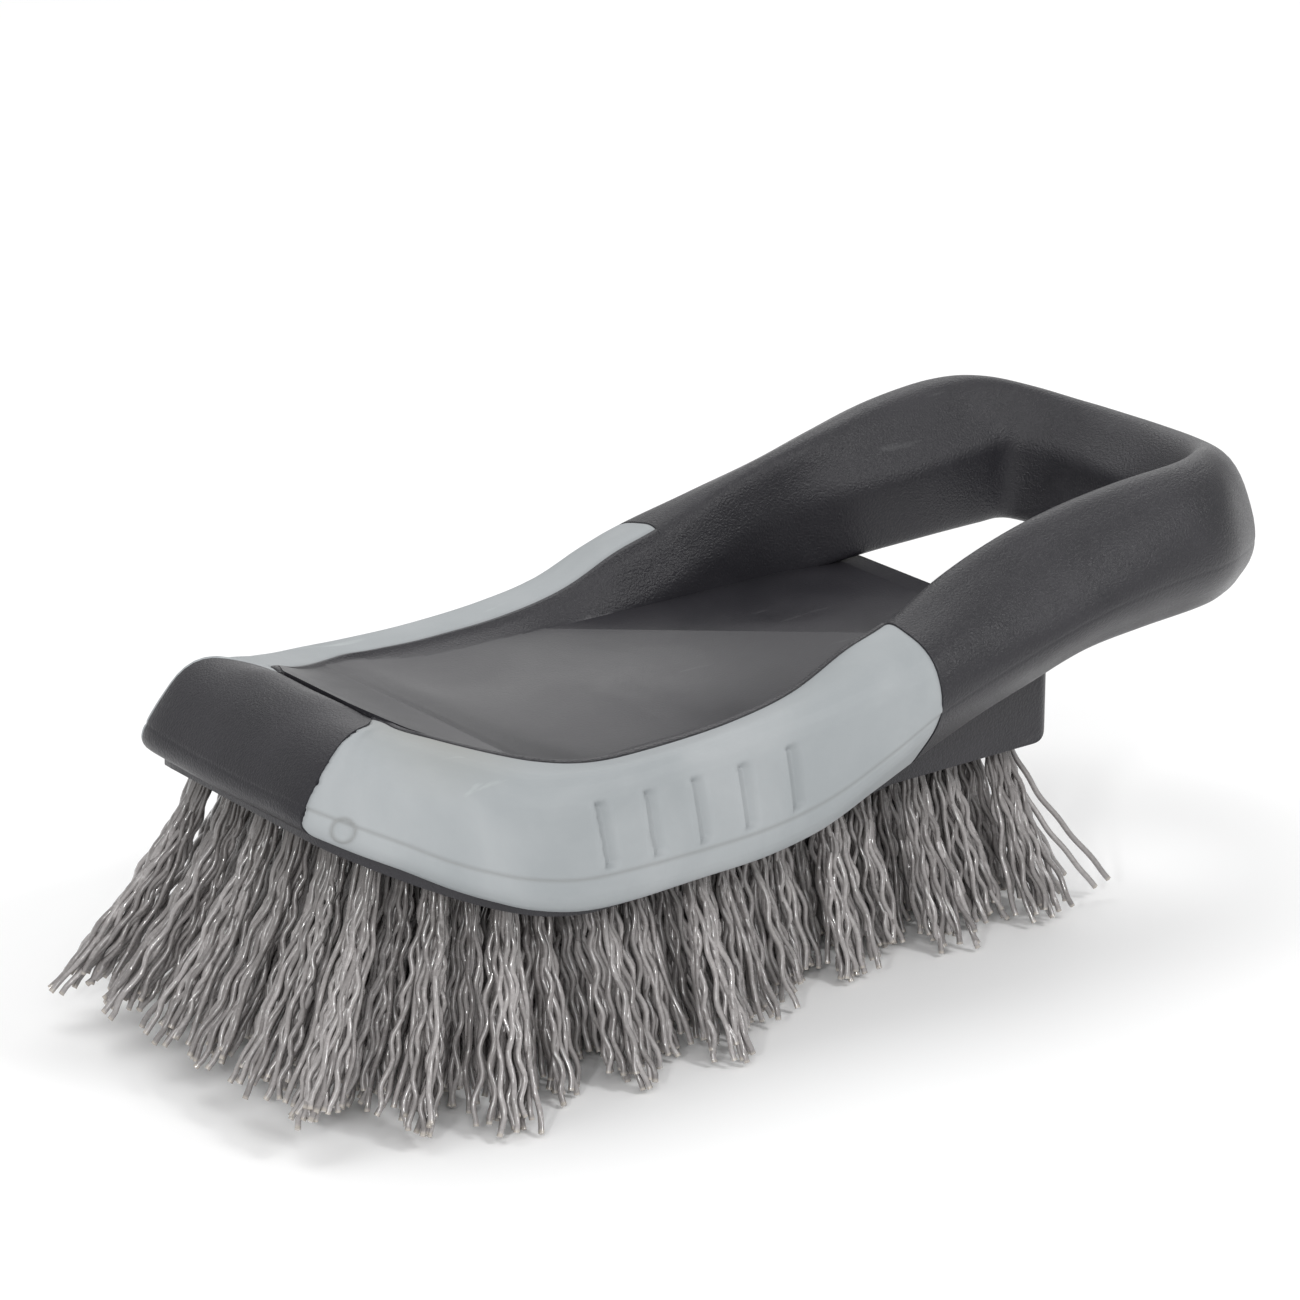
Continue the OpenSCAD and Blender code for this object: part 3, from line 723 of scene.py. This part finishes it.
# ---- grips
grip = {
    "stepsPerRow": 26,
    "girthPoints": 120,
    "thickness": 1.1,
    "edgeRound": 0.7,       # width of the rounded edge
    "edgeDrop": 0.28,
    "flutes": 5,
    "flutePitch": 9.2,
    "fluteStart": 43.0,     # first flute, from the nose
    "fluteDepth": 1.35,
    "fluteLow": 1.2,        # above the widest line
    "fluteHigh": 11.2,
    "gateRadius": 1.75,
    "gate": (-89.6, 26.6, 47.6),
    "nibLength": 1.3,
    "fluteRise": 0.22,      # raised lip in front of a flute
    "seamDepth": 0.16,
    "gateHeight": 0.28,
    "gateDepth": 0.14,
    "flash": 0.28,
    "endRows": 5,
}


def gripOuter(u):
    # even points from the bottom edge to the border, and their arc lengths from the widest line
    row = rimAt(u)
    outline = sectionOutline(row)[:borderMiddle + 1]
    step = np.linalg.norm(np.diff(outline, axis=0), axis=1)
    arc = np.concatenate([[0], np.cumsum(step)])
    even = np.linspace(0, arc[-1], grip["girthPoints"])
    points = np.stack([np.interp(even, arc, outline[:, k]) for k in (0, 1)], 1)
    return placePoints(row, points), even - arc[widestMiddle], even, arc[-1] - even


def gridNormals(grid):
    across = np.gradient(grid, axis=0)
    along = np.gradient(grid, axis=1)
    normal = np.cross(along, across)
    return normal / np.maximum(np.linalg.norm(normal, axis=2, keepdims=True), 1e-12)


def unitRows(vectors):
    return vectors / np.linalg.norm(vectors, axis=1, keepdims=True)


def buildGrip(name, side):
    count = (gripEnd - gripStart) * grip["stepsPerRow"]
    stops = np.linspace(gripStart + 0.012, gripEnd - 0.006, count + 1)
    rows = [gripOuter(u) for u in stops]
    grid = np.array([r[0] for r in rows])
    height = np.array([r[1] for r in rows])
    fromBottom = np.array([r[2] for r in rows])
    fromBorder = np.array([r[3] for r in rows])
    along = np.linalg.norm(np.diff(grid[:, grip["girthPoints"] // 2], axis=0), axis=1)
    length = np.concatenate([[0], np.cumsum(along)])
    fromFront = np.broadcast_to(length[:, None], height.shape)
    fromRear = length[-1] - fromFront
    normal = gridNormals(grid)
    if np.mean(normal[:, :, 1]) < 0:
        normal = -normal
    move = np.zeros(height.shape)
    edge = np.minimum(np.minimum(fromFront, fromRear), np.minimum(fromBorder, fromBottom))
    move -= grip["edgeDrop"] * (1 - smoothStep(edge, 0.0, grip["edgeRound"]))
    x = grid[:, :, 0]
    for k in range(grip["flutes"]):
        fluteX = noseX + grip["fluteStart"] + k * grip["flutePitch"]
        d = x - fluteX
        profile = smoothStep(d, -0.95, -0.45) * (1 - smoothStep(d, 0.1, 2.4))
        ends = smoothStep(height, grip["fluteLow"] - 0.7, grip["fluteLow"] + 0.7)
        ends = ends * (1 - smoothStep(height, grip["fluteHigh"] - 1.0, grip["fluteHigh"] + 0.6))
        move -= grip["fluteDepth"] * profile * ends
        rise = np.exp(-((d + 1.25) / 0.55) ** 2) * ends
        move += grip["fluteRise"] * rise
    move -= grip["seamDepth"] * np.exp(-(height / 0.3) ** 2)
    fromGate = np.linalg.norm(grid - np.array(grip["gate"]), axis=2)
    middle = grid[np.unravel_index(np.argmin(fromGate), fromGate.shape)]
    fromGate = np.linalg.norm(grid - middle, axis=2)
    ring = np.exp(-((fromGate - grip["gateRadius"]) / 0.3) ** 2)
    dimple = 1 - smoothStep(fromGate, 0.8, 1.3)
    move += grip["gateHeight"] * ring - grip["gateDepth"] * dimple
    # the mark paints shade along the parting-line groove and darkens the gate ring
    mark = np.clip(ring + 0.75 * np.exp(-(height / 0.28) ** 2), 0, 1)
    # ragged flash along the front edge and a nib where the seam meets the rear edge
    chance = np.random.default_rng(11).normal(0, 1, grip["girthPoints"])
    ragged = np.convolve(chance, np.ones(3) / 3, "same") * grip["flash"]
    forward = unitRows(grid[0] - grid[1])
    rearward = unitRows(grid[-1] - grid[-2])
    nib = np.exp(-((height[-1] - 0.5) / 0.7) ** 2) * grip["nibLength"]
    for k in range(grip["endRows"]):
        fade = 1 - k / grip["endRows"]
        grid[k] += forward * (ragged * fade)[:, None]
        grid[-1 - k] += rearward * (nib * fade)[:, None]
    outer = grid + normal * move[:, :, None]
    tuck = np.clip(edge / 1.2, 0, 1)[:, :, None]
    inner = grid - normal * (grip["edgeDrop"] + 0.02 + (grip["thickness"] - grip["edgeDrop"]) * tuck)
    flip = np.array([1, side, 1])
    rings, girth = grid.shape[:2]
    points = np.concatenate([outer.reshape(-1, 3), inner.reshape(-1, 3)]) * flip
    back = rings * girth
    faces = []
    for k in range(rings - 1):
        for i in range(girth - 1):
            a = k * girth + i
            faces.append((a, a + 1, a + girth + 1, a + girth))
            faces.append((back + a, back + a + girth, back + a + girth + 1, back + a + 1))
    for k in range(rings - 1):
        for i in (0, girth - 1):
            a = k * girth + i
            faces.append((a, a + girth, back + a + girth, back + a))
    for i in range(girth - 1):
        for k in (0, rings - 1):
            a = k * girth + i
            faces.append((a, a + 1, back + a + 1, back + a))
    obj = meshObject(name, points, faces, rubberMaterial)
    seamShadeAndGateRing = obj.data.attributes.new("seamShadeAndGateRing", "FLOAT", "POINT")
    seamShadeAndGateRing.data.foreach_set("value", np.concatenate([mark.ravel(), mark.ravel()]).astype(np.float32))
    outwardFaces(obj)
    finishShading(obj, 60)
    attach(obj, "root")
    return obj


leftGrip = buildGrip("leftGripSkin", 1)
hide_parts("left_grip")
rightGrip = buildGrip("rightGripSkin", -1)
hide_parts("right_grip")
print("grips built:", len(leftGrip.data.polygons), "faces each")


# ---- bristles
bristle = {
    "filaments": 26,
    "rowTufts": [6, 7, 8, 7, 8, 7, 8, 7, 6, 5, 6, 5, 6, 5, 6],
    "wideRows": 8,
    "firstRow": 12.5,       # from the nose
    "rowPitch": 9.0,
    "tuftPitch": 9.2,
    "narrowInset": 5.2,
    "sideLean": 19.0,
    "tipDiameter": 7.6,
    "tipHeight": [5.0, 1.5],
    "holeDiameter": 4.6,
    "holeDepth": 10.0,
    "radius": 0.5,
    "spread": 5.0,
    "stray": 1.9,
    "crimpHeight": 0.46,
    "crimpLength": 7.6,
    "floorGap": 0.6,
    "strayFalls": [(16, -6, -28.5), (9, -5, -29)],
}


def tipHeight(r):
    return bristle["tipHeight"][r - 1] if r <= 2 else 0.0


def rowX(r):
    return noseX + bristle["firstRow"] + (r - 1) * bristle["rowPitch"]


def tuftY(r, i):
    spacing = bristle["tuftPitch"]
    if r > bristle["wideRows"]:
        spacing = (halfBlock - bristle["narrowInset"]) * 2 / 5
    return (i - (bristle["rowTufts"][r - 1] - 1) / 2) * spacing


def tuftLeans(r, i):
    run = bristle["firstRow"] + body["tuftReach"] - bristle["tipDiameter"] / 2
    front = math.atan(run / (underAt(rowX(1)) - tipHeight(1)))
    forward = 0.0
    if r < 5:
        forward = front * (1 - (r - 1) / 4)
    elif r > 11:
        forward = math.radians(-(r - 11) * 2)
    out = math.radians(bristle["sideLean"]) * tuftY(r, i) / (3.5 * bristle["tuftPitch"])
    return out * (1.3 if r > bristle["wideRows"] else 1.0), forward


def tuftAxis(r, i):
    out, forward = tuftLeans(r, i)
    return Vector((-math.cos(out) * math.sin(forward), math.sin(out), -math.cos(out) * math.cos(forward)))


def cutTuftHoles(target):
    bm = bmesh.new()
    radius = bristle["holeDiameter"] / 2 * mm
    depth = (bristle["holeDepth"] + 3) * mm
    for r in range(1, len(bristle["rowTufts"]) + 1):
        for i in range(bristle["rowTufts"][r - 1]):
            axis = tuftAxis(r, i)
            mouth = Vector((rowX(r), tuftY(r, i), underAt(rowX(r))))
            middle = mouth - axis * (bristle["holeDepth"] - 3) / 2
            turn = axis.to_track_quat("Z", "Y").to_matrix().to_4x4()
            turn.translation = middle * mm
            bmesh.ops.create_cone(bm, cap_ends=True, segments=20, radius1=radius,
                                  radius2=radius, depth=depth, matrix=turn)
    mesh = bpy.data.meshes.new("tuftHoles")
    bm.to_mesh(mesh)
    bm.free()
    cutter = bpy.data.objects.new("tuftHoles", mesh)
    scene.collection.objects.link(cutter)
    combine(target, cutter, "DIFFERENCE")


def buildTuftTree():
    tree = bpy.data.node_groups.new("crimpedTuft", "GeometryNodeTree")
    tree.is_modifier = True
    inputs = {}
    tree.interface.new_socket(name="Geometry", in_out="INPUT", socket_type="NodeSocketGeometry")
    for name, kind, value in (
            ("Filaments", "NodeSocketInt", 25), ("Hole Radius", "NodeSocketFloat", 0.002),
            ("Spread", "NodeSocketFloat", 0.003), ("Stray", "NodeSocketFloat", 0.001),
            ("Crimp Height", "NodeSocketFloat", 0.0005), ("Crimp Length", "NodeSocketFloat", 0.007),
            ("Filament Radius", "NodeSocketFloat", 0.0004), ("Bend", "NodeSocketFloat", 1.25),
            ("Seed", "NodeSocketInt", 1), ("Material", "NodeSocketMaterial", None)):
        inputs[name] = groupSocket(tree, name, kind, "INPUT", value).identifier
    tree.interface.new_socket(name="Geometry", in_out="OUTPUT", socket_type="NodeSocketGeometry")
    nodes, links = tree.nodes, tree.links
    start = nodes.new("NodeGroupInput")
    end = nodes.new("NodeGroupOutput")

    def node(kind, **settings):
        made = nodes.new(kind)
        for key, value in settings.items():
            setattr(made, key, value)
        return made

    def calc(operation, a, b=None):
        made = node("ShaderNodeMath", operation=operation)
        feed(links, a, made.inputs[0])
        if b is not None:
            feed(links, b, made.inputs[1])
        return made.outputs[0]

    def vector(x, y, z):
        made = node("ShaderNodeCombineXYZ")
        for value, socket in zip((x, y, z), made.inputs):
            feed(links, value, socket)
        return made.outputs[0]

    def addVectors(*values):
        total = values[0]
        for value in values[1:]:
            made = node("ShaderNodeVectorMath", operation="ADD")
            links.new(total, made.inputs[0])
            links.new(value, made.inputs[1])
            total = made.outputs[0]
        return total

    def scaled(value, factor):
        made = node("ShaderNodeVectorMath", operation="SCALE")
        links.new(value, made.inputs[0])
        feed(links, factor, made.inputs["Scale"])
        return made.outputs[0]

    def chance(offset, low, high):
        made = node("FunctionNodeRandomValue", data_type="FLOAT")
        made.inputs[2].default_value = low
        made.inputs[3].default_value = high
        links.new(calc("ADD", start.outputs["Seed"], float(offset)), made.inputs["Seed"])
        return made.outputs[1]

    def disc(offset):
        angle = chance(offset, 0.0, 2 * math.pi)
        reach = calc("SQRT", chance(offset + 1, 0.0, 1.0))
        return vector(calc("MULTIPLY", calc("COSINE", angle), reach),
                      calc("MULTIPLY", calc("SINE", angle), reach), 0.0)

    def store(geometry, name, kind, value):
        made = node("GeometryNodeStoreNamedAttribute", data_type=kind, domain="POINT")
        made.inputs["Name"].default_value = name
        links.new(geometry, made.inputs["Geometry"])
        links.new(value, made.inputs["Value"])
        return made.outputs["Geometry"]

    def recall(name, kind):
        made = node("GeometryNodeInputNamedAttribute", data_type=kind)
        made.inputs["Name"].default_value = name
        return made.outputs["Attribute"]

    points = node("GeometryNodeMeshToPoints")
    links.new(start.outputs["Geometry"], points.inputs["Mesh"])
    copies = node("GeometryNodeDuplicateElements", domain="POINT")
    links.new(points.outputs[0], copies.inputs["Geometry"])
    links.new(start.outputs["Filaments"], copies.inputs["Amount"])
    flow = copies.outputs["Geometry"]
    position = node("GeometryNodeInputPosition")
    flow = store(flow, "base", "FLOAT_VECTOR", position.outputs[0])
    flow = store(flow, "shift", "FLOAT_VECTOR", disc(1))
    flow = store(flow, "wander", "FLOAT_VECTOR", disc(3))
    flow = store(flow, "phase", "FLOAT", chance(5, 0.0, 2 * math.pi))
    flow = store(flow, "swing", "FLOAT", chance(6, 0.0, math.pi))
    flow = store(flow, "tone", "FLOAT", chance(7, 0.0, 1.0))
    flow = store(flow, "cutShort", "FLOAT", chance(8, 0.9, 1.0))
    flow = store(flow, "pitch", "FLOAT", chance(9, 0.8, 1.3))

    line = node("GeometryNodeCurvePrimitiveLine")
    line.inputs["End"].default_value = (0, 0, 0.01)
    finer = node("GeometryNodeResampleCurve")
    finer.inputs["Count"].default_value = 34
    links.new(line.outputs["Curve"], finer.inputs["Curve"])
    placed = node("GeometryNodeInstanceOnPoints")
    links.new(flow, placed.inputs["Points"])
    links.new(finer.outputs["Curve"], placed.inputs["Instance"])
    realised = node("GeometryNodeRealizeInstances")
    links.new(placed.outputs["Instances"], realised.inputs["Geometry"])
    spline = node("GeometryNodeSplineParameter")
    along = spline.outputs["Factor"]
    flow = store(realised.outputs["Geometry"], "along", "FLOAT", along)

    # t runs from a little inside the hole (below 0) to the cut end (1)
    whole = calc("SUBTRACT", calc("MULTIPLY", along, 1.12), 0.12)
    t = calc("MULTIPLY", whole, recall("cutShort", "FLOAT"))
    outside = calc("MAXIMUM", t, 0.0)
    fall = recall("fall", "FLOAT_VECTOR")
    parts = node("ShaderNodeSeparateXYZ")
    links.new(fall, parts.inputs[0])
    bent = calc("ADD", calc("POWER", outside, start.outputs["Bend"]), calc("MINIMUM", t, 0.0))
    drop = vector(calc("MULTIPLY", parts.outputs[0], bent), calc("MULTIPLY", parts.outputs[1], bent),
                  calc("MULTIPLY", parts.outputs[2], t))
    widen = calc("MULTIPLY", calc("POWER", outside, 1.2),
                 calc("SUBTRACT", start.outputs["Spread"], start.outputs["Hole Radius"]))
    rootShift = scaled(recall("shift", "FLOAT_VECTOR"), calc("ADD", start.outputs["Hole Radius"], widen))
    stray = calc("MULTIPLY", calc("POWER", outside, 1.6), start.outputs["Stray"])
    tipShift = scaled(recall("wander", "FLOAT_VECTOR"), stray)
    length = node("ShaderNodeVectorMath", operation="LENGTH")
    links.new(fall, length.inputs[0])
    travelled = calc("MULTIPLY", t, length.outputs["Value"])
    turns = calc("DIVIDE", calc("MULTIPLY", travelled, 2 * math.pi), start.outputs["Crimp Length"])
    turns = calc("MULTIPLY", turns, recall("pitch", "FLOAT"))
    wave = calc("SINE", calc("ADD", turns, recall("phase", "FLOAT")))
    laterPhase = calc("MULTIPLY", recall("phase", "FLOAT"), 2.0)
    slow = calc("SINE", calc("ADD", calc("MULTIPLY", turns, 0.43), laterPhase))
    share = calc("MINIMUM", calc("MULTIPLY", outside, 5.0), 1.0)
    grow = calc("MULTIPLY", share, start.outputs["Crimp Height"])
    swing = recall("swing", "FLOAT")
    side1 = vector(calc("COSINE", swing), calc("SINE", swing), 0.0)
    side2 = vector(calc("MULTIPLY", calc("SINE", swing), -1.0), calc("COSINE", swing), 0.0)
    crimp1 = scaled(side1, calc("MULTIPLY", wave, grow))
    crimp2 = scaled(side2, calc("MULTIPLY", calc("MULTIPLY", slow, grow), 0.8))
    moved = node("GeometryNodeSetPosition")
    links.new(flow, moved.inputs["Geometry"])
    place = addVectors(recall("base", "FLOAT_VECTOR"), drop, rootShift, tipShift, crimp1, crimp2)
    links.new(place, moved.inputs["Position"])

    profile = node("GeometryNodeCurvePrimitiveCircle")
    profile.inputs["Resolution"].default_value = 5
    links.new(start.outputs["Filament Radius"], profile.inputs["Radius"])
    tube = node("GeometryNodeCurveToMesh")
    tube.inputs["Fill Caps"].default_value = True
    links.new(moved.outputs["Geometry"], tube.inputs["Curve"])
    links.new(profile.outputs["Curve"], tube.inputs["Profile Curve"])
    smooth = node("GeometryNodeSetShadeSmooth")
    links.new(tube.outputs["Mesh"], smooth.inputs["Geometry"])
    joined = node("GeometryNodeRealizeInstances")
    links.new(smooth.outputs["Geometry"], joined.inputs["Geometry"])
    dressed = node("GeometryNodeSetMaterial")
    links.new(joined.outputs["Geometry"], dressed.inputs["Geometry"])
    links.new(start.outputs["Material"], dressed.inputs["Material"])
    links.new(dressed.outputs["Geometry"], end.inputs[0])
    return tree, inputs


tuftTree, tuftInputs = buildTuftTree()


def markDeck(obj):
    # the deck is smoother than the moulded grain round it
    places = np.array([v.co for v in obj.data.vertices]) / mm
    height = np.array([deckAt(x) for x in places[:, 0]])
    flat = np.abs(places[:, 2] - height) < 0.25
    flat = flat & (np.abs(places[:, 1]) < halfNose + 18) & (places[:, 0] > noseX + 18)
    polish = obj.data.attributes.new("polish", "FLOAT", "POINT")
    polish.data.foreach_set("value", flat.astype(np.float32))


def growTufts(name, mouths, falls, values):
    mesh = bpy.data.meshes.new(name)
    mesh.from_pydata([tuple(p) for p in np.array(mouths) * mm], [], [])
    fall = mesh.attributes.new("fall", "FLOAT_VECTOR", "POINT")
    fall.data.foreach_set("vector", (np.array(falls) * mm).ravel())
    obj = bpy.data.objects.new(name, mesh)
    scene.collection.objects.link(obj)
    modifier = obj.modifiers.new("tufts", "NODES")
    modifier.node_group = tuftTree
    for key, value in values.items():
        modifier[tuftInputs[key]] = value
    applyModifier(obj, modifier)
    for attribute in ("base", "shift", "wander", "fall", "phase", "swing", "cutShort", "pitch"):
        found = obj.data.attributes.get(attribute)
        if found:
            obj.data.attributes.remove(found)
    return obj


def tuftValues(seed, **changes):
    values = {
        "Filaments": bristle["filaments"],
        "Hole Radius": (bristle["holeDiameter"] / 2 - bristle["radius"]) * mm,
        "Spread": bristle["spread"] * mm, "Stray": bristle["stray"] * mm,
        "Crimp Height": bristle["crimpHeight"] * mm, "Crimp Length": bristle["crimpLength"] * mm,
        "Filament Radius": bristle["radius"] * mm, "Bend": 1.25,
        "Seed": seed, "Material": filamentMaterial,
    }
    values.update(changes)
    return values


def buildRow(r):
    mouths, falls = [], []
    for i in range(bristle["rowTufts"][r - 1]):
        axis = tuftAxis(r, i)
        mouth = Vector((rowX(r), tuftY(r, i), underAt(rowX(r))))
        drop = mouth.z - tipHeight(r) - bristle["floorGap"]
        mouths.append(mouth)
        falls.append(axis * (drop / -axis.z))
    obj = growTufts("bristleRow%02d" % r, mouths, falls, tuftValues(40 + 20 * r))
    if r == len(bristle["rowTufts"]):
        # a few long straight ones that have sprung out at the back
        starts = [mouths[0] + Vector((0.5, 0, 0)), mouths[1]]
        changes = {"Filaments": 3, "Crimp Height": 0.0002, "Stray": 0.004}
        extra = growTufts("strays", starts, bristle["strayFalls"], tuftValues(7, **changes))
        bm = bmesh.new()
        bm.from_mesh(obj.data)
        bm.from_mesh(extra.data)
        bm.to_mesh(obj.data)
        bm.free()
        bpy.data.objects.remove(extra)
    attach(obj, "root")
    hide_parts("tuft_row_%02d" % r)
    return obj


cutTuftHoles(bodyShell)
finishShading(bodyShell, 34)
markDeck(bodyShell)
rows = [buildRow(r) for r in range(1, len(bristle["rowTufts"]) + 1)]
print("bristles built:", sum(len(row.data.polygons) for row in rows), "faces")

# the anchors stay as they are in the frame
for name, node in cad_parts.items():
    if name.startswith("anchor_row"):
        node.data.materials.clear()
        node.data.materials.append(steelMaterial)


# ---- table, lights and camera
stageSet = {
    "floorColour": (0.93, 0.93, 0.93, 1),
    "world": (1.0, 1.0, 1.0, 1),
    "worldStrength": 0.6,
    "lights": [
        # name, place, aim, size, power
        ("above", (-0.10, 0.35, 1.10), (0.0, 0.0, 0.04), 0.8, 3.8),
        ("front", (-0.70, -0.95, 0.70), (-0.02, 0.0, 0.04), 0.55, 3.4),
        ("side", (0.35, -0.70, 0.75), (0.07, -0.02, 0.05), 0.25, 3.0),
        ("behind", (0.75, 0.75, 0.75), (0.02, 0.0, 0.05), 0.9, 2.6),
        ("spark", (-0.85, -0.62, 0.46), (-0.03, 0.0, 0.03), 0.1, 2.6),
    ],
    "camera": (-0.4690, -0.5991, 0.3214),
    "target": (-0.0126, 0.0, 0.05171),
    "lens": 138.46,
}


def buildStage():
    mesh = bpy.data.meshes.new("table")
    size = 8.0
    corners = [(-size, -size, 0), (size, -size, 0), (size, size, 0), (-size, size, 0)]
    mesh.from_pydata(corners, [], [(0, 1, 2, 3)])
    table = bpy.data.objects.new("table", mesh)
    scene.collection.objects.link(table)
    material, nodes, links, shader = newMaterial("paleTable")
    shader.inputs["Base Color"].default_value = stageSet["floorColour"]
    shader.inputs["Roughness"].default_value = 0.75
    shader.inputs["Specular IOR Level"].default_value = 0.1
    mesh.materials.append(material)
    world = bpy.data.worlds.new("studio")
    world.use_nodes = True
    background = world.node_tree.nodes["Background"]
    background.inputs["Color"].default_value = stageSet["world"]
    background.inputs["Strength"].default_value = stageSet["worldStrength"]
    scene.world = world
    for name, place, aim, size, power in stageSet["lights"]:
        data = bpy.data.lights.new(name, "AREA")
        data.shape = "DISK"
        data.size = size
        data.energy = power
        light = bpy.data.objects.new(name, data)
        light.location = place
        light.rotation_euler = (Vector(aim) - Vector(place)).to_track_quat("-Z", "Y").to_euler()
        scene.collection.objects.link(light)
    data = bpy.data.cameras.new("camera")
    data.lens = stageSet["lens"]
    data.sensor_width = 36.0
    camera = bpy.data.objects.new("camera", data)
    camera.location = stageSet["camera"]
    sight = Vector(stageSet["target"]) - camera.location
    camera.rotation_euler = sight.to_track_quat("-Z", "Y").to_euler()
    scene.collection.objects.link(camera)
    scene.camera = camera


buildStage()
scene.view_settings.view_transform = "Standard"
